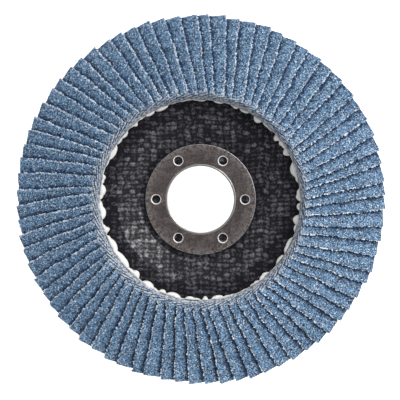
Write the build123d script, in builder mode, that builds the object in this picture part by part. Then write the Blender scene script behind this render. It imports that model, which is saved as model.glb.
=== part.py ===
"""Conical flap disc, 125 mm across, for a right-angle grinder with a 22.23 mm arbor.

The disc lies on its back: +Z points to the working side, the origin is on the bore's axis in the
rear seating face, and X runs through one of the pierced holes of the front ring. Millimetres.
"""

from build123d import *
from math import asin, atan2, cos, degrees, pi, radians, sin, sqrt, tan
import os

# Whole disc
disc_diameter = 125.0
bore_diameter = 22.23

# Arbor bush: steel flange behind the hub, collar through it and a lip flared into the front ring
bush_wall = 0.6
flange_diameter = 37.0
flange_thickness = 0.6
lip_flare = 0.45
mouth_chamfer = 0.4
collar_clearance = 0.05

# Front ring: steel washer, countersunk for the lip, with pierced holes drawn in at their mouths
ring_diameter = 38.0
ring_thickness = 0.6
pierce_count = 6
pierce_radius = 1.35
pierce_draw = 0.6

# Backing plate: pressed glass cloth in resin, with a sunk hub and a rim that slopes back
plate_thickness = 2.6
hub_margin = 1.6
ridge_land = 3.4
cone_angle = 11.0
rim_lift = 0.5
rim_overhang = 5.5
bend_chamfer = 1.6

# Flaps: rectangles of coated cloth, glued by one long edge and laid over each other
pair_count = 38
flap_width = 18.0
flap_length = 27.0
flap_thickness = 0.85
root_shift = 0.5
inner_gap = 0.04
outer_gap = 0.5
bond_clearance = 0.04

# Adhesive: a bead along the flaps' inner ends, and a bed that runs on from it under them
bed_thickness = 0.5
bed_width = 12.0
bead_width = 1.2
bead_height = 1.9
bead_clearance = 0.1

# Radii of the steel pieces and heights above the rear seating face
bore_radius = bore_diameter / 2
collar_radius = bore_radius + bush_wall
seat_radius = collar_radius + collar_clearance
ring_radius = ring_diameter / 2
pierce_circle_radius = (seat_radius + ring_radius) / 2
hub_front = flange_thickness + plate_thickness
ring_top = hub_front + ring_thickness

# The outer ends of the flaps are the flatter ones, and their raised corners reach the full diameter.
cone = radians(cone_angle)
flap_pitch = pi / pair_count
root_offset = flap_width / 2 - root_shift
disc_radius = disc_diameter / 2
outer_tilt = asin((flap_thickness + outer_gap) / (flap_pitch * disc_radius))
corner_x = flap_width * cos(outer_tilt) - flap_thickness * sin(outer_tilt) - root_offset
corner_rise = flap_width * sin(outer_tilt) + flap_thickness * cos(outer_tilt)
flap_inner = sqrt(disc_radius**2 - corner_x**2) - flap_length * cos(cone) - corner_rise * sin(cone)

# The inner ends are steep enough to clear the next flap, which starts one pitch further round.
root_step = root_offset - flap_pitch * flap_inner
inner_tilt = asin(((flap_thickness + inner_gap) / flap_pitch + root_step * sin(cone)) / flap_inner)

# Radii of the adhesive and the plate, and the height of the plate's ridge
bead_outer = flap_inner - bead_clearance
bead_inner = bead_outer - bead_width
bed_outer = bead_outer + bed_width
hub_flat_radius = ring_radius + hub_margin
ridge_radius = bead_inner - ridge_land
plate_radius = disc_radius - rim_overhang
rim_front = rim_lift + plate_thickness * cos(cone)
ridge_height = rim_front + (plate_radius - ridge_radius) * tan(cone)


def cone_height(radius):
    """Height of the plate's conical front at a radius outside the ridge."""
    return ridge_height - (radius - ridge_radius) * tan(cone)


def make_backing_plate():
    with BuildPart() as plate:
        with BuildSketch(Plane.XZ) as section:
            with BuildLine():
                Polyline(
                    (seat_radius, hub_front),
                    (hub_flat_radius, hub_front),
                    (ridge_radius, ridge_height),
                    (plate_radius, rim_front),
                )
                offset(amount=plate_thickness, side=Side.RIGHT, kind=Kind.INTERSECTION)
            make_face()
            hub_rear_bend, ridge_bend = section.vertices().sort_by(Axis.X)[3:5]
            chamfer((hub_rear_bend, ridge_bend), length=bend_chamfer)
        revolve(axis=Axis.Z)
    return plate


def make_front_ring():
    draw_angle = degrees(atan2(pierce_draw, ring_thickness))
    with BuildPart() as ring:
        with BuildSketch(Plane.XY.offset(hub_front)):
            Circle(ring_radius)
            Circle(seat_radius, mode=Mode.SUBTRACT)
        extrude(amount=ring_thickness)
        mouth_edge = ring.edges().group_by(Axis.Z)[-1].sort_by(SortBy.LENGTH)[0]
        chamfer(mouth_edge, length=lip_flare)
        with BuildSketch(Plane.XY.offset(ring_top)):
            with PolarLocations(pierce_circle_radius, pierce_count):
                Circle(pierce_radius + pierce_draw)
        extrude(amount=-ring_thickness, taper=draw_angle, mode=Mode.SUBTRACT)
    return ring


def make_arbor_bush():
    flange_radius = flange_diameter / 2
    with BuildPart() as bush:
        with BuildSketch(Plane.XZ) as section:
            with BuildLine():
                Polyline(
                    (bore_radius, 0),
                    (flange_radius, 0),
                    (flange_radius, flange_thickness),
                    (collar_radius, flange_thickness),
                    (collar_radius, ring_top - lip_flare),
                    (collar_radius + lip_flare, ring_top),
                    (bore_radius, ring_top),
                    close=True,
                )
            make_face()
            chamfer(section.vertices().group_by(Axis.X)[0], length=mouth_chamfer)
        revolve(axis=Axis.Z)
    return bush


def make_adhesive():
    crown = (bead_inner + bead_outer) / 2
    with BuildPart() as adhesive:
        with BuildSketch(Plane.XZ):
            with BuildLine():
                Polyline(
                    (bead_inner, cone_height(bead_inner)),
                    (crown, cone_height(crown) + bead_height),
                    (bead_outer, cone_height(bead_outer) + bed_thickness),
                    (bed_outer, cone_height(bed_outer) + bed_thickness),
                    (bed_outer, cone_height(bed_outer)),
                    close=True,
                )
            make_face()
        revolve(axis=Axis.Z)
    return adhesive


def root_point(along):
    """Point on the glued edge of the flap at +Y, at a distance from the edge's inner end.

    The straight edge comes closest to the conical bed at the bed's outer rim.
    """
    bed_end = sqrt(bed_outer**2 - root_offset**2)
    reach = flap_inner + along * cos(cone)
    bed_top = cone_height(bed_outer) + bed_thickness
    return Vector(-root_offset, reach, bed_top + bond_clearance + (bed_end - reach) * tan(cone))


def make_flap():
    """The flap at +Y, bent along one diagonal so that its outer end lies flatter."""
    sideways = Vector(1, 0, 0)
    upward = Vector(0, sin(cone), cos(cone))
    middle_tilt = (inner_tilt + outer_tilt) / 2
    through = upward * cos(middle_tilt) - sideways * sin(middle_tilt)
    root_inner = root_point(0)
    root_outer = root_point(flap_length)
    tip_inner = root_inner + (sideways * cos(inner_tilt) + upward * sin(inner_tilt)) * flap_width
    tip_outer = root_outer + (sideways * cos(outer_tilt) + upward * sin(outer_tilt)) * flap_width
    with BuildPart() as flap:
        for corners in ((root_inner, root_outer, tip_inner), (tip_outer, tip_inner, root_outer)):
            extrude(Face(Wire.make_polygon(corners)), amount=flap_thickness, dir=through)
    return flap


def make_flap_pair(flap, number):
    """The flap so many pitches clockwise from +Y, and the one that faces it across the disc."""
    with BuildPart() as pair:
        with PolarLocations(0, 2, start_angle=-degrees(flap_pitch) * number):
            add(flap.part)
    return pair


def main():
    os.makedirs("parts", exist_ok=True)
    pieces = {
        "backing_plate": make_backing_plate(),
        "front_ring": make_front_ring(),
        "arbor_bush": make_arbor_bush(),
        "adhesive_bead": make_adhesive(),
    }
    flap = make_flap()
    for number in range(pair_count):
        pieces[f"flap_pair_{number + 1:02d}"] = make_flap_pair(flap, number)
    for name, piece in pieces.items():
        piece.part.label = name
        export_step(piece.part, f"parts/{name}.step")


main()
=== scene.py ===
"""Looks of a conical abrasive flap disc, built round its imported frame.

Shapes are worked out in millimetres and turned to metres where a mesh is made. The disc lies on its
back: +Z is the working side, and flaps follow each other clockwise when seen from there.
"""

import math

import bpy
import numpy as np
from mathutils import Matrix, Vector
from mathutils.geometry import tessellate_polygon


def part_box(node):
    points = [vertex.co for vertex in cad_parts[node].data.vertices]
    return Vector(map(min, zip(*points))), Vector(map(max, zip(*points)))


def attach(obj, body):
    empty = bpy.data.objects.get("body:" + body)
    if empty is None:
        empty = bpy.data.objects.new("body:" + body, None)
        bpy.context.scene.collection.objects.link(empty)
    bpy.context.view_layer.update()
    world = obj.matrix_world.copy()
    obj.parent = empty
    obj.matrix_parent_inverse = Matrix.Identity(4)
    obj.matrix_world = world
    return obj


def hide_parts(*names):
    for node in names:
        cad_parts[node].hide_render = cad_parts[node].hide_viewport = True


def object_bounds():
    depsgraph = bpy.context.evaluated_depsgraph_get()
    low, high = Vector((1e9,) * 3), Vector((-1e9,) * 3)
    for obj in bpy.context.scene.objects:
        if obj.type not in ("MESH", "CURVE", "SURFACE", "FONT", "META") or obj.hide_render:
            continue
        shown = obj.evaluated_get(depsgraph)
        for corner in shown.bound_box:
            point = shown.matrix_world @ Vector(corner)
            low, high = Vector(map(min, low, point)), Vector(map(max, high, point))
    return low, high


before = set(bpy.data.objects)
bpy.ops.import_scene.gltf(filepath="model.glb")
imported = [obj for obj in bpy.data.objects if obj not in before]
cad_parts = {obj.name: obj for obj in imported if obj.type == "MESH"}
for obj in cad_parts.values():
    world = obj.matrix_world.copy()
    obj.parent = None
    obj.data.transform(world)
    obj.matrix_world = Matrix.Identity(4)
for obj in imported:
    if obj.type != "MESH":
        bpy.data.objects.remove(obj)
cad_low, cad_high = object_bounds()

MM = 0.001

# Disc
disc_radius = 62.5
flap_count = 76
cone = math.radians(11.0)
flap_pitch = 2 * math.pi / flap_count

# Flaps: blank size, and the gaps that their tilts leave to the next flap
flap_width = 18.0
flap_length = 27.0
flap_thickness = 0.85
cloth_thickness = 0.42
root_offset = 8.5
inner_gap = 0.04
outer_gap = 0.5

# Flaps' mesh: fine columns where grain shows, and a few columns across the hidden part
grain_step = 0.3
hidden_width = 11.6
hidden_columns = np.array([0.0, 5.0, 9.0])

# Grain: single grains and wider lumps, sunk where the next flap rubs it and at the cut edge
grain_relief = 0.26
lump_share = 0.25
lump_length = 1.1
covered_dip = 0.14
edge_dip = 0.1

# Bearing: under cover, grain reaches up to the next flap's back, short of where either end shows
bearing_gap = 0.02
bearing_margin = 0.4
bearing_inner_setback = 0.8
bearing_outer_setback = 2.0

# Painted shade: grain colour darkened beside the next flap's edge, in a band of uneven width that
# grows outwards, and on two rows near the inner end
shade_reach = 0.5
shade_wave = 0.45
shade_wave_length = 1.3
shade_ripple = 0.75
shade_ripple_length = 0.6
shade_growth = 0.3
least_shade = 0.1
shade_core = 0.35
near_shade_clearance = 0.72
shade_clearance_distance = 2.4
darkened_rows = slice(1, 3)
darkened_share = 0.3

# Cut edges: the raised edge's line, its loose threads, and the grit that broke off beside it
edge_wave = 0.3
edge_wave_length = 6.0
edge_ripple = 0.14
edge_ripple_length = 1.5
edge_fray = 0.36
cloth_round = 0.06
grit_setback = 0.3
grit_slope = 0.04
chip_wave = 0.6
chip_length = 1.2
corner_wear = 0.4
corner_length = 1.2
end_ragged = (0.05, 0.3)

# How far both ends of the flaps run past those of the frame, and play from one flap to the next
inner_excess = 0.85
end_excess = 0.25
end_play = 0.22
blank_play = 0.55
curl_play = 0.14

# Share of the cloth laid bare on the first rows of grain at a flap's inner end, and on the last one
bare_rows = (0.85, 0.05, 0.75, 0.5, 0.15)
bare_last_row = 0.3

# Adhesive bed, as the frame has it, which the flaps lie on
bed_width = 12.0
bed_thickness = 0.5
bead_clearance = 0.1
bond_clearance = 0.04

# Adhesive bead, with lobes pushed out of it, the largest along one line through the axis
bead_reach = 33.55
bead_foot = 33.75
bead_top = 8.9
bead_bulge = 1.65
bead_points = 900
bead_levels = 9
lobe_count = 70
lobe_play = 0.06
lobe_sizes = (0.15, 1.0)
lobe_size_limits = (0.1, 1.1)
heavy_line = math.radians(20.0)
heavy_share = 0.3
lobe_half_degrees = 1.3
lobe_growth_degrees = 4.2
lobe_growth_play = (0.1, 1.1)
lobe_roundness = 0.6
lobe_rise = 0.5
least_depth = 0.15
foot_sink = 0.05
top_wave = 0.4
top_wave_turn = 0.09

# Smear of adhesive that climbs the flaps' inner ends
smear_start = -0.2
smear_climb = 2.6
climb_wave = 0.6
climb_wave_turn = 0.11
climb_ripple_turn = 0.035
smear_depth = 0.12
least_smear = 0.02
smear_back = 0.3
smear_drop = 0.15

# Bead's hidden back, and how much darker its top is painted than its foot, as painted shade
bead_back = 0.6
bead_back_lift = 0.1
painted_top_shade = 0.55

# Arbor bush, with a lip rolled onto the front ring
bore_radius = 11.115
bore_chamfer = 0.3
collar_radius = 11.715
lip_outer = 11.95
lip_flare = 0.45
lip_rise = 0.12
lip_fall = 0.75
lip_points = 13
ring_top = 3.8
flange_radius = 18.5
flange_thickness = 0.6
flange_round = 0.1
bush_points = 192
bush_crease = math.radians(40)

# Front ring, with a bright rolled rim at each pierced hole
ring_radius = 18.7
ring_inner = 11.8
ring_edge = 0.2
edge_wear = 0.35
ring_points = 192
ring_inner_points = 128
pierce_count = 6
pierce_circle = 15.1
pierce_radius = 1.42
pierce_rim = 0.36
pierce_points = 40
bend_levels = 6

# Backing plate
plate_thickness = 2.6
plate_radius = 57.0
seat_radius = 11.765
hub_front = 3.2
hub_flat_radius = 20.6
ridge_radius = 29.64
rim_lift = 0.5
plate_points = 600
front_step = 0.32
rear_step = 0.6

# Weave of the plate: thread spacing and relief, and how far threads sway, bunch and are pressed flat
warp_pitch = 2.25
weft_pitch = 1.55
weave_height = 0.22
warp_flatness = 0.8
thread_mean = 0.55
thread_swing = 0.45
thread_sway = 0.5
warp_sway_length = 2.9
weft_sway_length = 2.7
thread_bunch = 0.25
warp_bunch_length = 2.1
weft_bunch_length = 1.9
pressed_flat = (0.35, 1.0)
crossings = 200

# Share of the weave's relief where the plate's section isn't fully woven; the plate's colour darkens
# there too, as painted shade
faint_weave = 0.3
rear_rim_weave = 0.4
rear_bend_weave = 0.6

# Bends of the plate's section: how far from each bend its rounding starts and ends, and its drop there
woven_from = 12.6
woven_to = 35.5
ridge_round = 1.5
ridge_inner_drop = 1.0
ridge_outer_drop = 0.55
rim_round = 0.4
rim_drop = 0.35
rear_fold_share = 0.4
rear_ridge_outer = 1.4
rear_ridge_outer_drop = 0.28
rear_ridge_inner = 0.2
rear_ridge_inner_drop = 0.5
rear_hub_outer = 1.4
rear_hub_outer_rise = 0.75
rear_hub_inner = 1.2
rear_flat_radius = 18.8

# Studio, in metres and watts, and the camera's view of the flaps' outline, in pixels and millimetres
floor_width = 6.0
floor_clearance = 0.00002
floor_glow = 0.95
key_azimuth = math.radians(51.0)
key_elevation = math.radians(42.0)
key_width = 0.45
key_power = 4.0
picture_width = 400
outline_pixels = 183.99
outline_radius = 62.02
outline_height = 8.0
camera_distance = 900.0
camera_lean = math.radians(4.0)
lean_azimuth = math.radians(45.0)
sensor_width = 36.0
clip_range = (0.01, 20.0)

# Seeds of the random draws
edge_seed = 9200
flap_seed = 4100
bead_seed = 77
weave_seed = 31


# Small tools

def linear(hex_colour):
    """sRGB hex colour as linear RGBA."""
    parts = [int(hex_colour[i:i + 2], 16) / 255 for i in (0, 2, 4)]
    toned = [c / 12.92 if c <= 0.04045 else ((c + 0.055) / 1.055) ** 2.4 for c in parts]
    return (*toned, 1.0)


def per_metre(size_mm):
    """Texture scale at which one feature is that many millimetres wide."""
    return 1.0 / (size_mm * MM)


def add_node(tree, kind, sockets, **settings):
    """Adds a node, sets its properties, and sets or links its inputs."""
    node = tree.nodes.new(kind)
    for name, value in settings.items():
        setattr(node, name, value)
    for name, value in sockets.items():
        if isinstance(value, bpy.types.NodeSocket):
            tree.links.new(value, node.inputs[name])
        else:
            node.inputs[name].default_value = value
    return node


def new_material(name):
    """A material with its node tree and its shader."""
    material = bpy.data.materials.new(name)
    material.use_nodes = True
    tree = material.node_tree
    return material, tree, tree.nodes["Principled BSDF"]


def wander(places, spacing, rng):
    """Smooth random line between -1 and 1, with a new value every spacing."""
    knots = rng.uniform(-1, 1, int(np.max(places) / spacing) + 2)
    steps = places / spacing
    low = np.floor(steps).astype(int)
    share = steps - low
    share = share * share * (3 - 2 * share)
    return knots[low] * (1 - share) + knots[low + 1] * share


def lofted_mesh(name, sections, wraps):
    """Mesh through a row of closed sections, capped at its ends unless the row closes on itself."""
    stations, corners = sections.shape[:2]
    index = np.arange(stations * corners).reshape(stations, corners)
    here = index if wraps else index[:-1]
    there = np.roll(index, -1, axis=0) if wraps else index[1:]
    quads = np.stack((here, np.roll(here, -1, axis=1), np.roll(there, -1, axis=1), there), axis=-1)
    faces = quads.reshape(-1, 4).tolist()
    if not wraps:
        faces.append(index[0][::-1].tolist())
        faces.append(index[-1].tolist())
    mesh = bpy.data.meshes.new(name)
    mesh.from_pydata((sections.reshape(-1, 3) * MM).tolist(), [], faces)
    return mesh


def turned_mesh(name, radii, heights, turns):
    """Smooth mesh of a closed section turned round the axis; each turn may have its own section."""
    x = radii * np.cos(turns)[:, None]
    y = radii * np.sin(turns)[:, None]
    z = np.broadcast_to(heights, x.shape)
    mesh = lofted_mesh(name, np.stack((x, y, z), axis=-1), wraps=True)
    mesh.polygons.foreach_set("use_smooth", [True] * len(mesh.polygons))
    return mesh


def add_values(mesh, name, values):
    """Gives each vertex of a mesh its value for the materials to read."""
    mesh.attributes.new(name, "FLOAT", "POINT").data.foreach_set("value", values.ravel())


def add_piece(mesh, materials, node):
    """Puts a mesh in the scene as a piece that stands for a node of the frame."""
    piece = bpy.data.objects.new(mesh.name, mesh)
    bpy.context.scene.collection.objects.link(piece)
    for material in materials:
        mesh.materials.append(material)
    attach(piece, "root")
    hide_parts(node)


# Finishes

def coated_grit():
    """Zirconia grain bonded by blue resin: sharp grains, some bare and light, with painted shade in the
    hollows between.

    Near the next flap's edge the colour carries painted shade, which spares only the grains that stick
    out, and resin dust pales some grains near the inner end. Grains keep their real width, which is about
    the least that shows.
    """
    grain_width = 0.29
    hollow_shade_width = 1.3
    facet_width = 0.27
    facet_depth = 0.18
    dust_reach = 4.0
    material, tree, shader = new_material("zirconia_grain_in_blue_resin")
    place = add_node(tree, "ShaderNodeTexCoord", {}).outputs["Object"]
    grains = add_node(tree, "ShaderNodeTexVoronoi", {"Vector": place, "Scale": per_metre(grain_width)})
    tone = add_node(tree, "ShaderNodeSeparateColor", {"Color": grains.outputs["Color"]})
    clumps = add_node(tree, "ShaderNodeTexNoise", {
        "Vector": place, "Scale": per_metre(hollow_shade_width), "Detail": 3.0})
    shade = add_node(tree, "ShaderNodeMapRange", {
        "Value": tone.outputs["Red"], "From Min": 0.22, "From Max": 0.78})
    body = add_node(tree, "ShaderNodeMix", {
        0: shade.outputs[0], 6: linear("0F2C48"), 7: linear("749FC7")}, data_type="RGBA")
    inner_end = add_node(tree, "ShaderNodeAttribute", {}, attribute_name="from_inner_end")
    cleaner = add_node(tree, "ShaderNodeMapRange", {
        "Value": inner_end.outputs["Fac"], "From Min": 0.0, "From Max": dust_reach,
        "To Min": 0.55, "To Max": 0.8})
    bare = add_node(tree, "ShaderNodeMapRange", {
        "Value": tone.outputs["Green"], "From Min": cleaner.outputs[0], "From Max": 1.0})
    tipped = add_node(tree, "ShaderNodeMix", {
        0: bare.outputs[0], 6: body.outputs[2], 7: linear("DDEFFF")}, data_type="RGBA")
    # Painted shade in the hollows between grains, in mottled patches
    hollow_shade = add_node(tree, "ShaderNodeMapRange", {
        "Value": clumps.outputs[0], "From Min": 0.4, "From Max": 0.6, "To Min": 0.86, "To Max": 1.06})
    shaded = add_node(tree, "ShaderNodeMix", {
        0: 1.0, 6: tipped.outputs[2], 7: hollow_shade.outputs[0]}, data_type="RGBA", blend_type="MULTIPLY")
    # Painted shade beside the next flap's edge: grains that don't stick out of it take a dark blue tint
    clear_of_painted_shade = add_node(tree, "ShaderNodeAttribute", {}, attribute_name="clear_of_painted_shade")
    sunk = add_node(tree, "ShaderNodeMapRange", {
        "Value": tone.outputs["Blue"], "To Min": 0.0, "To Max": 0.9})
    above = add_node(tree, "ShaderNodeMath", {
        0: clear_of_painted_shade.outputs["Fac"], 1: sunk.outputs[0]}, operation="SUBTRACT")
    lit = add_node(tree, "ShaderNodeMapRange", {
        "Value": above.outputs[0], "From Min": -0.05, "From Max": 0.25})
    covered = add_node(tree, "ShaderNodeMix", {
        0: lit.outputs[0], 6: (0.22, 0.32, 0.45, 1.0), 7: (1.0, 1.0, 1.0, 1.0)}, data_type="RGBA")
    colour = add_node(tree, "ShaderNodeMix", {
        0: 1.0, 6: shaded.outputs[2], 7: covered.outputs[2]}, data_type="RGBA", blend_type="MULTIPLY")
    fine = add_node(tree, "ShaderNodeTexNoise", {
        "Vector": place, "Scale": per_metre(facet_width), "Detail": 2.0})
    bump = add_node(tree, "ShaderNodeBump", {
        "Height": fine.outputs[0], "Strength": 1.0, "Distance": facet_depth * MM})
    tree.links.new(colour.outputs[2], shader.inputs["Base Color"])
    tree.links.new(bump.outputs[0], shader.inputs["Normal"])
    shader.inputs["Roughness"].default_value = 0.5
    return material


def cut_cloth():
    """Polyester and cotton cloth where the blank was cut: white broken threads, greyed by dust.

    One thread is too fine to show, so the pattern is drawn as wide as a tuft of them.
    """
    tuft_width = 0.7
    soil_reach = 2.0
    material, tree, shader = new_material("cut_polyester_cotton_cloth")
    place = add_node(tree, "ShaderNodeTexCoord", {}).outputs["Object"]
    threads = add_node(tree, "ShaderNodeTexNoise", {
        "Vector": place, "Scale": per_metre(tuft_width), "Detail": 4.0})
    dust = add_node(tree, "ShaderNodeMapRange", {
        "Value": threads.outputs[0], "From Min": 0.42, "From Max": 0.55})
    colour = add_node(tree, "ShaderNodeMix", {
        0: dust.outputs[0], 6: linear("56718F"), 7: linear("E2EAF2")}, data_type="RGBA")
    inner_end = add_node(tree, "ShaderNodeAttribute", {}, attribute_name="from_inner_end")
    soiled = add_node(tree, "ShaderNodeMapRange", {
        "Value": inner_end.outputs["Fac"], "From Min": 0.0, "From Max": soil_reach,
        "To Min": 0.74, "To Max": 1.0})
    shown = add_node(tree, "ShaderNodeMix", {
        0: 1.0, 6: colour.outputs[2], 7: soiled.outputs[0]}, data_type="RGBA", blend_type="MULTIPLY")
    tree.links.new(shown.outputs[2], shader.inputs["Base Color"])
    shader.inputs["Roughness"].default_value = 0.9
    return material


def cloth_back():
    """Back of the coated cloth, sized with pale resin: matt, in mottled greys.

    Its plain weave is too fine to show, so the mottling is drawn as wide as a few threads.
    """
    mottle_width = 0.5
    weave_depth = 0.1
    material, tree, shader = new_material("sized_cloth_back")
    place = add_node(tree, "ShaderNodeTexCoord", {}).outputs["Object"]
    threads = add_node(tree, "ShaderNodeTexNoise", {
        "Vector": place, "Scale": per_metre(mottle_width), "Detail": 2.0})
    colour = add_node(tree, "ShaderNodeMix", {
        0: threads.outputs[0], 6: linear("9AA3AB"), 7: linear("D9DAD6")}, data_type="RGBA")
    bump = add_node(tree, "ShaderNodeBump", {
        "Height": threads.outputs[0], "Strength": 0.5, "Distance": weave_depth * MM})
    tree.links.new(colour.outputs[2], shader.inputs["Base Color"])
    tree.links.new(bump.outputs[0], shader.inputs["Normal"])
    shader.inputs["Roughness"].default_value = 0.8
    return material


def glass_cloth_plate():
    """Woven glass cloth pressed in black phenolic resin: grey threads with resin-black gaps, which carry
    painted shade as well, as does the faintly woven land by the bead.

    The threads are the mesh's own. Resin wets them in patches, and single fibres are too fine to show,
    so only the patches are drawn.
    """
    patch_width = 0.7
    material, tree, shader = new_material("pressed_glass_cloth_in_black_resin")
    place = add_node(tree, "ShaderNodeTexCoord", {}).outputs["Object"]
    crown = add_node(tree, "ShaderNodeAttribute", {}, attribute_name="weave_tone_and_shade")
    patches = add_node(tree, "ShaderNodeTexNoise", {
        "Vector": place, "Scale": per_metre(patch_width), "Detail": 3.0})
    wetted = add_node(tree, "ShaderNodeMapRange", {
        "Value": patches.outputs[0], "From Min": 0.35, "From Max": 0.65, "To Min": 0.35, "To Max": 1.25})
    bare = add_node(tree, "ShaderNodeMath", {
        0: crown.outputs["Fac"], 1: wetted.outputs[0]}, operation="MULTIPLY")
    # Dark in the weave's gaps and where the weave is faint: partly resin-black, partly painted shade
    share = add_node(tree, "ShaderNodeMapRange", {
        "Value": bare.outputs[0], "From Min": 0.25, "From Max": 1.0})
    colour = add_node(tree, "ShaderNodeMix", {
        0: share.outputs[0], 6: linear("1E1E23"), 7: linear("585862")}, data_type="RGBA")
    gloss = add_node(tree, "ShaderNodeMapRange", {
        "Value": bare.outputs[0], "From Min": 0.2, "From Max": 0.8, "To Min": 0.1, "To Max": 1.3})
    tree.links.new(colour.outputs[2], shader.inputs["Base Color"])
    tree.links.new(gloss.outputs[0], shader.inputs["Specular IOR Level"])
    shader.inputs["Roughness"].default_value = 0.36
    return material


def dull_steel():
    """Cold-rolled steel washer, dulled brown, rubbed near its edge, burnished where the punch bent it.

    Real specks and scratches are too fine to show, so they are drawn about as wide as a grain of grit.
    """
    stain_width = 2.4
    speck_width = 0.3
    rub_width = 0.9
    rubs_from = 15.5
    rubs_full = 18.4
    scratch_length = 5.0
    scratch_slimness = 14.0
    scratch_slant = 0.6
    material, tree, shader = new_material("cold_rolled_steel")
    place = add_node(tree, "ShaderNodeTexCoord", {}).outputs["Object"]
    stain = add_node(tree, "ShaderNodeTexNoise", {
        "Vector": place, "Scale": per_metre(stain_width), "Detail": 3.0})
    specks = add_node(tree, "ShaderNodeTexNoise", {
        "Vector": place, "Scale": per_metre(speck_width), "Detail": 3.0, "Roughness": 0.7})
    marks = add_node(tree, "ShaderNodeMath", {
        0: stain.outputs[0], 1: 0.4, 2: specks.outputs[0]}, operation="MULTIPLY_ADD")
    spots = add_node(tree, "ShaderNodeMapRange", {
        "Value": marks.outputs[0], "From Min": 0.66, "From Max": 0.9})
    from_axis = add_node(tree, "ShaderNodeVectorMath", {0: place}, operation="LENGTH")
    near_edge = add_node(tree, "ShaderNodeMapRange", {
        "Value": from_axis.outputs["Value"], "From Min": rubs_from * MM, "From Max": rubs_full * MM})
    rubs = add_node(tree, "ShaderNodeTexNoise", {
        "Vector": place, "Scale": per_metre(rub_width), "Detail": 2.0})
    rubbed = add_node(tree, "ShaderNodeMapRange", {
        "Value": rubs.outputs[0], "From Min": 0.42, "From Max": 0.54})
    edge_rubs = add_node(tree, "ShaderNodeMath", {
        0: near_edge.outputs[0], 1: rubbed.outputs[0]}, operation="MULTIPLY")
    slanted = add_node(tree, "ShaderNodeMapping", {
        "Vector": place, "Rotation": (0.0, 0.0, scratch_slant), "Scale": (1.0, scratch_slimness, 1.0)})
    strokes = add_node(tree, "ShaderNodeTexNoise", {
        "Vector": slanted.outputs[0], "Scale": per_metre(scratch_length), "Detail": 1.0})
    scratches = add_node(tree, "ShaderNodeMapRange", {
        "Value": strokes.outputs[0], "From Min": 0.68, "From Max": 0.76, "To Max": 0.6})
    worst = add_node(tree, "ShaderNodeMath", {
        0: edge_rubs.outputs[0], 1: scratches.outputs[0]}, operation="MAXIMUM")
    bared = add_node(tree, "ShaderNodeMath", {
        0: worst.outputs[0], 1: spots.outputs[0]}, operation="MAXIMUM")
    flat = add_node(tree, "ShaderNodeMix", {
        0: bared.outputs[0], 6: linear("8C7F7F"), 7: linear("E0D6D4")}, data_type="RGBA")
    burnished = add_node(tree, "ShaderNodeAttribute", {}, attribute_name="burnished")
    colour = add_node(tree, "ShaderNodeMix", {
        0: burnished.outputs["Fac"], 6: flat.outputs[2], 7: linear("FFFEFC")}, data_type="RGBA")
    worn = add_node(tree, "ShaderNodeMapRange", {
        "Value": burnished.outputs["Fac"], "To Min": 0.35, "To Max": 0.7})
    tree.links.new(colour.outputs[2], shader.inputs["Base Color"])
    tree.links.new(worn.outputs[0], shader.inputs["Roughness"])
    shader.inputs["Metallic"].default_value = 1.0
    return material


def bright_steel():
    """Drawn steel bush: bright, faintly clouded and half glossy, as the draw and the rolling left it."""
    cloud_width = 1.5
    material, tree, shader = new_material("drawn_steel")
    place = add_node(tree, "ShaderNodeTexCoord", {}).outputs["Object"]
    cloud = add_node(tree, "ShaderNodeTexNoise", {
        "Vector": place, "Scale": per_metre(cloud_width), "Detail": 3.0})
    colour = add_node(tree, "ShaderNodeMix", {
        0: cloud.outputs[0], 6: linear("AEACAA"), 7: linear("D8D6D4")}, data_type="RGBA")
    tree.links.new(colour.outputs[2], shader.inputs["Base Color"])
    shader.inputs["Metallic"].default_value = 1.0
    shader.inputs["Roughness"].default_value = 0.32
    return material


def cured_epoxy():
    """Filled epoxy: near white and smooth where it stands thick, grey where it only wets the flaps, and
    darker towards the bead's top as painted shade.
    """
    cloud_width = 0.8
    material, tree, shader = new_material("cured_filled_epoxy")
    place = add_node(tree, "ShaderNodeTexCoord", {}).outputs["Object"]
    cloud = add_node(tree, "ShaderNodeTexNoise", {
        "Vector": place, "Scale": per_metre(cloud_width), "Detail": 3.0})
    thickness_and_shade = add_node(tree, "ShaderNodeAttribute", {}, attribute_name="thickness_and_shade")
    body = add_node(tree, "ShaderNodeMath", {
        0: thickness_and_shade.outputs["Fac"], 1: cloud.outputs[0]}, operation="ADD")
    share = add_node(tree, "ShaderNodeMapRange", {
        "Value": body.outputs[0], "From Min": 0.5, "From Max": 1.0})
    colour = add_node(tree, "ShaderNodeMix", {
        0: share.outputs[0], 6: linear("ABAAB2"), 7: linear("F4F3F1")}, data_type="RGBA")
    tree.links.new(colour.outputs[2], shader.inputs["Base Color"])
    shader.inputs["Roughness"].default_value = 0.35
    return material


# The flaps' finishes, and the number that a face has for each
flap_finishes = (coated_grit(), cut_cloth(), cloth_back())
grit_face, cut_face, back_face = range(3)

plate_finish = glass_cloth_plate()
epoxy = cured_epoxy()


# Where the flaps lie

rim_front = rim_lift + plate_thickness * math.cos(cone)


def cone_height(radius):
    """Height of the plate's conical front."""
    return rim_front + (plate_radius - radius) * math.tan(cone)


# The frame's adhesive gives the place of the flaps' inner ends and the height of their glued edges.
bed_outer = (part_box("adhesive_bead")[1] / MM).x
flap_inner = bed_outer - bed_width + bead_clearance
bed_end = math.sqrt(bed_outer**2 - root_offset**2)
bed_top = cone_height(bed_outer) + bed_thickness
root_height = bed_top + bond_clearance + (bed_end - flap_inner) * math.tan(cone)

# Each end is tilted so that the next flap, one pitch further round, clears it by that end's gap.
outer_tilt = math.asin((flap_thickness + outer_gap) / (flap_pitch * disc_radius))
root_step = root_offset - flap_pitch * flap_inner
inner_sine = ((flap_thickness + inner_gap) / flap_pitch + root_step * math.sin(cone)) / flap_inner
inner_tilt = math.asin(inner_sine)

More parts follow.
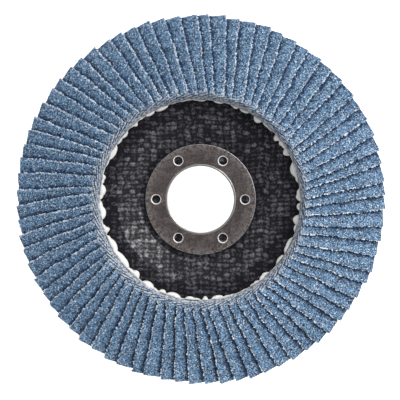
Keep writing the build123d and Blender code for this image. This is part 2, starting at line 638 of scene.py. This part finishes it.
# The mesh has one row of grain per station along a flap, and its fine columns where grain shows.
stations = int(flap_length / grain_step) + 1
fine_columns = int((flap_width - hidden_width) / grain_step)
along = np.linspace(0, flap_length, stations)


def tilt_at(distance):
    """Tilt of a flap at a distance from its inner end."""
    return inner_tilt + (outer_tilt - inner_tilt) * distance / flap_length


def flap_point(u, v, w):
    """Point of the flap at +Y: u from its inner end, v from its glued edge, w through the cloth."""
    tilt = tilt_at(u)
    rise = v * np.sin(tilt) + w * np.cos(tilt)
    x = -root_offset + v * np.cos(tilt) - w * np.sin(tilt)
    y = flap_inner + u * math.cos(cone) + rise * math.sin(cone)
    z = root_height - u * math.sin(cone) + rise * math.cos(cone)
    return x, y, z


def gap_above(u, v):
    """Gap between the top of one flap and the back of the next, which lies one pitch further round."""
    x, y, z = flap_point(u, v, flap_thickness)
    turned_x = x * math.cos(flap_pitch) + y * math.sin(flap_pitch) + root_offset
    turned_y = y * math.cos(flap_pitch) - x * math.sin(flap_pitch) - flap_inner
    reach = turned_y * math.cos(cone) - (z - root_height) * math.sin(cone)
    rise = turned_y * math.sin(cone) + (z - root_height) * math.cos(cone)
    tilt = tilt_at(reach)
    return turned_x * np.sin(tilt) - rise * np.cos(tilt)


def covered_line(edge):
    """Where the edge of the flap above ends on the flap below, measured across that flap."""
    x, y, _ = flap_point(along, edge, 0.0)
    turned_x = x * math.cos(flap_pitch) - y * math.sin(flap_pitch)
    turned_y = x * math.sin(flap_pitch) + y * math.cos(flap_pitch)
    tilt = tilt_at(along)
    v = (turned_x + root_offset + flap_thickness * np.sin(tilt)) / np.cos(tilt)
    u = (turned_y - flap_inner - v * np.sin(tilt) * math.sin(cone)) / math.cos(cone)
    return np.interp(along, u, v)


# Flaps

def raised_edge(rng):
    """Line of one flap's raised cut edge, without its loose threads."""
    slide = rng.uniform(-blank_play, blank_play)
    slant = rng.uniform(-blank_play, blank_play) * (along / flap_length - 0.5)
    wave = edge_wave * wander(along, edge_wave_length, rng)
    wave = wave + edge_ripple * wander(along, edge_ripple_length, rng)
    to_corner = np.clip((flap_length - along) / corner_length, 0, 1)
    wear = rng.uniform(0, corner_wear) * (1 - to_corner) ** 2
    return flap_width + slide + slant + wave - wear


def painted_shade_clearance(rng, from_cover):
    """How clear of the painted shade grain lies at a distance past the next flap's edge: 0 in it, 1 well
    clear of it.
    """
    reach = shade_reach + shade_wave * wander(along, shade_wave_length, rng)
    reach = reach + shade_ripple * wander(along, shade_ripple_length, rng)
    reach = reach + shade_growth * along / flap_length
    light = np.clip(from_cover / np.maximum(reach, least_shade)[:, None] - shade_core, 0, 1)
    clear = np.clip(from_cover / shade_clearance_distance, 0, 1)
    shade_clearance = light * (near_shade_clearance + (1 - near_shade_clearance) * clear)
    # Painted shade also darkens two rows near the inner end
    shade_clearance[darkened_rows] *= darkened_share
    return shade_clearance


def grain_crown(rng, shade_clearance):
    """Height of each grain above the flap's back."""
    grains = rng.uniform(0, 1, shade_clearance.shape)
    lumps = np.array([wander(along, lump_length, rng) for _ in range(fine_columns + 1)]).T
    hollows = (1 - lump_share) * grains + lump_share * (0.5 + 0.5 * lumps)
    crown = flap_thickness - grain_relief * hollows
    crown -= covered_dip * (1 - shade_clearance)
    crown[:, -1] -= edge_dip
    return crown


def flap_sections(rng, edge, covered):
    """Sections of one flap at +Y, how clear of the painted shade its grain lies, and how far each point
    is from its inner end.

    Each section is a loop: up the glued edge, across the grain, down the cut edge and along the back.
    """
    cloth_edge = edge + edge_fray * rng.uniform(-1, 1, stations)
    chips = chip_wave * wander(along, chip_length, rng) + (1 - chip_wave) * rng.uniform(-1, 1, stations)
    grit_edge = edge - grit_setback * (1.0 + chips)
    share = np.linspace(0, 1, fine_columns + 1)
    fine = hidden_width + share * (grit_edge[:, None] - hidden_width)
    across = np.hstack((np.tile(hidden_columns, (stations, 1)), fine))
    from_cover = across - covered[:, None]

    fine_shade_clearance = painted_shade_clearance(rng, from_cover[:, hidden_columns.size:])
    hidden_crown = np.full((stations, hidden_columns.size), flap_thickness - grain_relief)
    crown = np.hstack((hidden_crown, grain_crown(rng, fine_shade_clearance)))
    seat = flap_thickness + np.clip(gap_above(along[:, None], across) - bearing_gap, 0, None)
    bears = (along > bearing_inner_setback) & (along < flap_length - bearing_outer_setback)
    crown = np.where(bears[:, None] & (from_cover < -bearing_margin), seat, crown)

    flat = np.ones((stations, 1))
    v = np.hstack((
        flat * 0.0, across,
        grit_edge[:, None] + grit_slope, cloth_edge[:, None], cloth_edge[:, None] - cloth_round,
        flat * hidden_width))
    w = np.hstack((
        flat * 0.0, crown,
        flat * cloth_thickness, flat * (cloth_thickness - cloth_round), flat * 0.0,
        flat * 0.0))
    shade_clearance = np.ones(v.shape)
    shade_clearance[:, :1 + hidden_columns.size] = 0.0
    shade_clearance[:, 1 + hidden_columns.size:1 + across.shape[1]] = fine_shade_clearance

    u = np.repeat(along[:, None], v.shape[1], axis=1)
    for row, way in ((0, 1.0), (-1, -1.0)):
        u[row] += way * rng.uniform(*end_ragged, v.shape[1]) * w[row] / flap_thickness
    longer = end_excess + rng.uniform(-end_play, end_play)
    longer = longer + rng.uniform(-end_play, end_play) * (v / flap_width * 2 - 1)
    outwards = u / flap_length
    u += longer * outwards - inner_excess * (1 - outwards)

    lift = rng.uniform(-curl_play, curl_play) * (u / flap_length) * (v / flap_width) ** 2
    return np.stack(flap_point(u, v, w + lift), axis=-1), shade_clearance, u


def loop_faces():
    """Which finish each face of a section's loop gets, before any grain is chipped off."""
    grain_faces = hidden_columns.size + fine_columns + 1
    return [cut_face] + [grit_face] * grain_faces + [cut_face] * 2 + [back_face] * 2


def turned(sections, turn):
    """Sections turned round the disc's axis."""
    spin = np.array((
        (math.cos(turn), -math.sin(turn), 0.0),
        (math.sin(turn), math.cos(turn), 0.0),
        (0.0, 0.0, 1.0)))
    return sections @ spin.T


def make_flaps():
    """All flaps, clockwise from +Y, each cut and worn a little differently."""
    bare_share = np.zeros(stations - 1)
    bare_share[:len(bare_rows)] = bare_rows
    bare_share[-1] = bare_last_row
    edges = [raised_edge(np.random.default_rng(edge_seed + number)) for number in range(flap_count)]
    for number in range(flap_count):
        rng = np.random.default_rng(flap_seed + number)
        covered = covered_line(edges[number - 1])
        sections, shade_clearance, distance = flap_sections(rng, edges[number], covered)
        sections = turned(sections, -flap_pitch * number)
        mesh = lofted_mesh(f"flap_{number + 1:02d}", sections, wraps=False)
        finish = np.tile(loop_faces(), (stations - 1, 1))
        chipped = rng.uniform(0, 1, finish.shape) < bare_share[:, None]
        finish[chipped & (finish == grit_face)] = cut_face
        mesh.polygons.foreach_set("material_index", finish.ravel().tolist() + [cut_face] * 2)
        add_values(mesh, "clear_of_painted_shade", shade_clearance)
        add_values(mesh, "from_inner_end", distance)
        pair = number % (flap_count // 2) + 1
        add_piece(mesh, flap_finishes, f"flap_pair_{pair:02d}")


make_flaps()


# Adhesive

def lobe_depths(rng, turns):
    """How far lobes push out of the bead at each turn, as a share of bead_bulge."""
    depth = np.zeros(turns.size)
    for middle in np.linspace(0, 2 * math.pi, lobe_count, endpoint=False):
        centre = middle + rng.uniform(-lobe_play, lobe_play)
        heavier = heavy_share * math.cos(2 * (centre - heavy_line))
        size = np.clip(rng.uniform(*lobe_sizes) + heavier, *lobe_size_limits)
        growth = lobe_growth_degrees * size * rng.uniform(*lobe_growth_play)
        half = math.radians(lobe_half_degrees + growth)
        away = np.abs((turns - centre + math.pi) % (2 * math.pi) - math.pi) / half
        depth = np.maximum(depth, size * np.clip(1 - away**2, 0, 1) ** lobe_roundness)
    return depth


def make_adhesive():
    """Scalloped bead: lobes of epoxy pushed against the flaps' inner ends, and a smear up those ends."""
    rng = np.random.default_rng(bead_seed)
    turns = np.linspace(0, 2 * math.pi, bead_points, endpoint=False)
    bulge = lobe_depths(rng, turns)
    foot = bead_foot - bead_bulge * bulge
    reach = np.maximum(bead_reach, foot + least_depth)
    top = bead_top + top_wave * wander(turns, top_wave_turn, rng) + lobe_rise * bulge
    bow = np.linspace(0, math.pi / 2, bead_levels)
    r = foot[:, None] + (reach - foot)[:, None] * (1 - np.cos(bow))
    z_foot = cone_height(foot)[:, None] - foot_sink
    z = z_foot + (top[:, None] - z_foot) * np.sin(bow)

    climb = climb_wave * wander(turns, climb_wave_turn, rng)
    climb = climb + (1 - climb_wave) * wander(turns, climb_ripple_turn, rng)
    smear_top = top + np.clip(smear_start + smear_climb * climb, 0, None)
    smear = flap_inner - inner_excess + (smear_top - root_height) * math.tan(cone) + smear_depth
    smear = np.maximum(smear, reach + least_smear)
    r = np.stack((*r.T, smear, smear + smear_back, reach + bead_back), axis=-1)
    z = np.stack((*z.T, smear_top, smear_top - smear_drop, cone_height(reach) + bead_back_lift), axis=-1)

    mesh = turned_mesh("adhesive_bead_blobs", r, z, turns)
    thickness_and_shade = np.zeros(r.shape)
    # Painted shade: the bead's colour darkens from its foot towards its top
    thickness_and_shade[:, :bead_levels] = 1 - painted_top_shade * (bow / bow[-1]) ** 2
    add_values(mesh, "thickness_and_shade", thickness_and_shade)
    add_piece(mesh, (epoxy,), "adhesive_bead")


make_adhesive()


# Backing plate

def weave(x, y):
    """Height of a plain weave, from 0 in the gaps to 1 on the crowns, uneven as pressed cloth is."""
    rng = np.random.default_rng(weave_seed)
    span = 2 * disc_radius
    sway = thread_sway * wander(y + span, warp_sway_length, rng)
    bunch = thread_bunch * wander(x + span, warp_bunch_length, rng)
    x = x + sway + bunch
    sway = thread_sway * wander(x + span, weft_sway_length, rng)
    bunch = thread_bunch * wander(y + span, weft_bunch_length, rng)
    y = y + sway + bunch
    warp_phase = (x + span) / warp_pitch
    weft_phase = (y + span) / weft_pitch
    column = np.floor(warp_phase).astype(int)
    row = np.floor(weft_phase).astype(int)
    over = np.where((column + row) % 2 == 0, 1.0, -1.0)
    warp_round = np.abs(np.sin(math.pi * warp_phase))
    weft_round = np.abs(np.sin(math.pi * weft_phase))
    warp_height = warp_flatness * np.sqrt(warp_round) * (thread_mean + thread_swing * over * weft_round)
    weft_height = np.sqrt(weft_round) * (thread_mean - thread_swing * over * warp_round)
    pressed = rng.uniform(*pressed_flat, (crossings, crossings))
    return np.maximum(warp_height, weft_height) * pressed[column, row]


def plate_section():
    """Plate's front and rear: radius, height and share of the weave's relief at each point."""
    ridge_height = cone_height(ridge_radius)
    slope = math.atan2(ridge_height - hub_front, ridge_radius - hub_flat_radius)
    hub_rear = hub_front - plate_thickness
    ridge_rear = ridge_height - plate_thickness
    hub_bend = hub_flat_radius + plate_thickness * math.tan(slope / 2)
    ridge_bend = ridge_radius - plate_thickness * math.tan((slope + cone) / 2) * rear_fold_share
    rim_bend = plate_radius - rim_round
    front = [
        (seat_radius, hub_front, 0.0),
        (woven_from, hub_front, 1.0),
        (hub_flat_radius, hub_front, 1.0),
        (ridge_radius - ridge_round, ridge_height - ridge_inner_drop, 1.0),
        (ridge_radius + ridge_round, ridge_height - ridge_outer_drop, 1.0),
        (woven_to, cone_height(woven_to), faint_weave),
        (rim_bend, cone_height(rim_bend), 0.0),
        (plate_radius, rim_front - rim_drop, 0.0)]
    rear = [
        (plate_radius - plate_thickness * math.sin(cone), rim_lift, rear_rim_weave),
        (ridge_bend + rear_ridge_outer, ridge_rear - rear_ridge_outer_drop, 1.0),
        (ridge_bend - rear_ridge_inner, ridge_rear - rear_ridge_inner_drop, 1.0),
        (hub_bend + rear_hub_outer, hub_rear + rear_hub_outer_rise, 1.0),
        (hub_bend - rear_hub_inner, hub_rear, rear_bend_weave),
        (rear_flat_radius, hub_rear, faint_weave),
        (seat_radius, hub_rear, 0.0)]
    return front, rear


def divided(points, step):
    """Points of a polyline, with more added so that none are further apart than step."""
    out = []
    for here, there in zip(points, points[1:]):
        span = math.hypot(there[0] - here[0], there[1] - here[1])
        count = max(1, round(span / step))
        out += [tuple(a + (b - a) * i / count for a, b in zip(here, there)) for i in range(count)]
    return out + [points[-1]]


def make_plate():
    """Pressed plate: fine points across the woven front, fewer where flaps or the flange hide it."""
    front, rear = plate_section()
    woven_front = divided(front[:-2], front_step)
    front_points = woven_front + front[-2:]
    rear_points = divided(rear[:-2], rear_step) + rear[-2:]
    radii, heights, relief = np.array(front_points + rear_points).T
    outwards = np.array([1.0] * len(front_points) + [-1.0] * len(rear_points))
    turns = np.linspace(0, 2 * math.pi, plate_points, endpoint=False)
    woven = weave(radii * np.cos(turns)[:, None], radii * np.sin(turns)[:, None])
    z = heights + outwards * relief * weave_height * (woven - 1.0)
    mesh = turned_mesh("woven_backing_plate", radii, z, turns)
    # Crown height times relief share: grey crowns, with painted shade in the gaps and where the relief
    # fades
    add_values(mesh, "weave_tone_and_shade", woven * relief)
    add_piece(mesh, (plate_finish,), "backing_plate")


make_plate()


# Front ring

def pierced_mesh(name, rims):
    """Flat piece between a top and a bottom, with rims: its own outline first, then its holes'."""
    points, faces, tops, bottoms = [], [], [], []
    for rim in rims:
        levels, count = rim.shape[:2]
        index = len(points) + np.arange(levels * count).reshape(levels, count)
        points += [Vector(point) * MM for point in rim.reshape(-1, 3).tolist()]
        above, below = index[:-1], index[1:]
        quads = np.stack((above, np.roll(above, -1, axis=1), np.roll(below, -1, axis=1), below), axis=-1)
        faces += quads.reshape(-1, 4).tolist()
        tops.append(index[0].tolist())
        bottoms.append(index[-1].tolist())
    bends = len(faces)
    for outlines in (tops, bottoms):
        corners = [corner for outline in outlines for corner in outline]
        flat = tessellate_polygon([[points[corner] for corner in outline] for outline in outlines])
        faces += [[corners[i] for i in triangle] for triangle in flat]
    mesh = bpy.data.meshes.new(name)
    mesh.from_pydata(points, [], faces)
    mesh.polygons.foreach_set("use_smooth", [True] * bends + [False] * (len(faces) - bends))
    return mesh


def rim_points(centre, radii, heights, count):
    """Points round a centre, level by level, each level with its own radius and height."""
    turns = np.linspace(0, 2 * math.pi, count, endpoint=False)
    x = centre[0] + radii[:, None] * np.cos(turns)
    y = centre[1] + radii[:, None] * np.sin(turns)
    return np.stack((x, y, np.repeat(heights[:, None], count, axis=1)), axis=-1)


def bent_rim(centre, radius, bend, count):
    """Rim whose top edge is bent down, and widened by bend there, or narrowed where that is below 0."""
    turn = np.linspace(0, math.pi / 2, bend_levels)
    radii = np.append(radius + bend * (1 - np.sin(turn)), radius)
    heights = np.append(ring_top - abs(bend) * (1 - np.cos(turn)), hub_front)
    return rim_points(centre, radii, heights, count)


def make_ring():
    """Front ring: its outer edge is rounded, and the punch rolled the holes' edges down."""
    outline = bent_rim((0, 0), ring_radius, -ring_edge, ring_points)
    bore = rim_points((0, 0), np.full(2, ring_inner), np.array((ring_top, hub_front)), ring_inner_points)
    holes = []
    for turn in np.linspace(0, 2 * math.pi, pierce_count, endpoint=False):
        centre = (pierce_circle * math.cos(turn), pierce_circle * math.sin(turn))
        holes.append(bent_rim(centre, pierce_radius, pierce_rim, pierce_points))
    mesh = pierced_mesh("pierced_front_ring", [outline, bore] + holes)
    bent = np.array([0.0] + [1.0] * (bend_levels - 1) + [0.0])
    edge_shine = np.repeat(edge_wear * bent, ring_points)
    bore_shine = np.zeros(2 * ring_inner_points)
    hole_shine = np.tile(np.repeat(bent, pierce_points), pierce_count)
    add_values(mesh, "burnished", np.concatenate((edge_shine, bore_shine, hole_shine)))
    add_piece(mesh, (dull_steel(),), "front_ring")


make_ring()


# Arbor bush

def make_bush():
    """Arbor bush: flange behind the plate, collar through the hub, and a lip rolled onto the ring."""
    roll = np.linspace(0, math.pi, lip_points)
    lip_r = (lip_outer + bore_radius) / 2 + (lip_outer - bore_radius) / 2 * np.cos(roll)
    outside = lip_rise * np.sin(roll)
    inside = lip_rise + lip_fall * (np.sin(roll) - 1)
    lip_z = ring_top + np.where(roll < math.pi / 2, outside, inside)
    flange = [
        (bore_radius + bore_chamfer, 0.0),
        (flange_radius - flange_round, 0.0),
        (flange_radius, flange_round),
        (flange_radius, flange_thickness - flange_round),
        (flange_radius - flange_round, flange_thickness),
        (collar_radius, flange_thickness),
        (collar_radius, ring_top - lip_flare)]
    section = flange + list(zip(lip_r, lip_z)) + [(bore_radius, bore_chamfer)]
    radii, heights = np.array(section).T
    turns = np.linspace(0, 2 * math.pi, bush_points, endpoint=False)
    mesh = turned_mesh("rolled_arbor_bush", radii, heights, turns)
    mesh.set_sharp_from_angle(angle=bush_crease)
    add_piece(mesh, (bright_steel(),), "arbor_bush")


make_bush()


# Floor, light and camera

def make_floor():
    """White sweep that glows a little, so that no shadow under the disc goes dark."""
    place = (0, 0, cad_low.z - floor_clearance)
    bpy.ops.mesh.primitive_plane_add(size=floor_width, location=place)
    floor = bpy.context.object
    floor.name = "floor"
    material, _, shader = new_material("white_sweep")
    shader.inputs["Base Color"].default_value = linear("F4F4F4")
    shader.inputs["Roughness"].default_value = 0.9
    shader.inputs["Emission Color"].default_value = (1.0, 1.0, 1.0, 1.0)
    shader.inputs["Emission Strength"].default_value = floor_glow
    floor.data.materials.append(material)


def make_world():
    """Light tent: bright sides, most of all towards the key light, and a dark opening overhead."""
    world = bpy.data.worlds.new("studio")
    bpy.context.scene.world = world
    world.use_nodes = True
    tree = world.node_tree
    direction = add_node(tree, "ShaderNodeTexCoord", {}).outputs["Generated"]
    parts = add_node(tree, "ShaderNodeSeparateXYZ", {"Vector": direction})
    overhead = add_node(tree, "ShaderNodeMapRange", {
        "Value": parts.outputs["Z"], "From Min": 0.7, "From Max": 0.96,
        "To Min": 1.0, "To Max": 0.07}, interpolation_type="SMOOTHSTEP")
    towards_key = add_node(tree, "ShaderNodeVectorMath", {
        0: direction, 1: (math.sin(key_azimuth), math.cos(key_azimuth), 0.0)}, operation="DOT_PRODUCT")
    side = add_node(tree, "ShaderNodeMapRange", {
        "Value": towards_key.outputs["Value"], "From Min": -1.0, "From Max": 1.0,
        "To Min": 0.5, "To Max": 1.6})
    strength = add_node(tree, "ShaderNodeMath", {
        0: overhead.outputs[0], 1: side.outputs[0]}, operation="MULTIPLY")
    tree.links.new(strength.outputs[0], tree.nodes["Background"].inputs["Strength"])
    tree.nodes["Background"].inputs["Color"].default_value = (1.0, 1.0, 1.0, 1.0)


def make_key_light():
    """Soft box a metre from the disc, turned towards it."""
    light = bpy.data.lights.new("key", "AREA")
    light.energy = key_power
    light.size = key_width
    key = bpy.data.objects.new("key", light)
    bpy.context.scene.collection.objects.link(key)
    key.location = Vector((
        math.sin(key_azimuth) * math.cos(key_elevation),
        math.cos(key_azimuth) * math.cos(key_elevation),
        math.sin(key_elevation)))
    key.rotation_mode = "QUATERNION"
    key.rotation_quaternion = (-key.location).to_track_quat("-Z", "Y")


def make_camera():
    """Camera over the disc, leaned a little, that shows the flaps' outline at its size in the picture."""
    data = bpy.data.cameras.new("camera")
    camera = bpy.data.objects.new("camera", data)
    bpy.context.scene.collection.objects.link(camera)
    frame_width = picture_width / outline_pixels * outline_radius
    data.sensor_width = sensor_width
    data.lens = data.sensor_width * camera_distance / frame_width
    data.clip_start, data.clip_end = clip_range
    target = Vector((0, 0, outline_height)) * MM
    away = Vector((
        math.sin(camera_lean) * math.sin(lean_azimuth),
        math.sin(camera_lean) * math.cos(lean_azimuth),
        math.cos(camera_lean)))
    camera.location = target + away * camera_distance * MM
    camera.rotation_mode = "QUATERNION"
    upright = Vector((0, 1, 0))
    across = upright.cross(away).normalized()
    above = away.cross(across)
    camera.rotation_quaternion = Matrix((across, above, away)).transposed().to_quaternion()
    bpy.context.scene.camera = camera


make_floor()
make_world()
make_key_light()
make_camera()
bpy.context.scene.view_settings.view_transform = "Standard"
